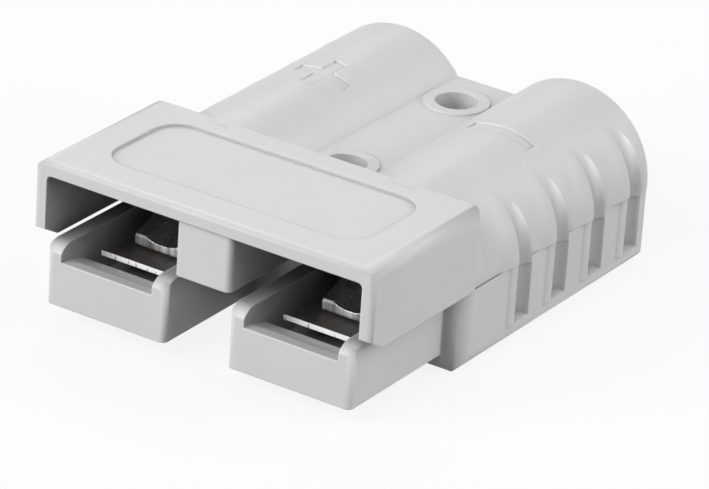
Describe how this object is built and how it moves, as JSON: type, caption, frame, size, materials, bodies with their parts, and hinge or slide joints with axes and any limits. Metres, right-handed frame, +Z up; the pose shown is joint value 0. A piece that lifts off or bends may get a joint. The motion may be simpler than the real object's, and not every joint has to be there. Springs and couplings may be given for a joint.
{
  "type": "genderless power connector",
  "caption": "Flat genderless power connector: hood over open tongues with sprung blade contacts, round wire barrels and a web with mounting holes.",
  "frame": {"origin": "centre of the connector's length and width, on the flat base", "axes": "+X across, +Y from the mating front towards the wire end, +Z up through the hood's top"},
  "size_m": [0.037, 0.0474, 0.0161],
  "materials": {
    "housing_plastic": "satin moulded polycarbonate, light grey",
    "plated_contact": "silver-plated copper, bright with drawn streaks",
    "spring_steel": "stainless spring strip, sheared edges"
  },
  "bodies": {
    "root": {"housing": "housing_plastic", "left_contact": "plated_contact", "right_contact": "plated_contact", "left_spring": "spring_steel", "right_spring": "spring_steel"}
  },
  "joints": []
}
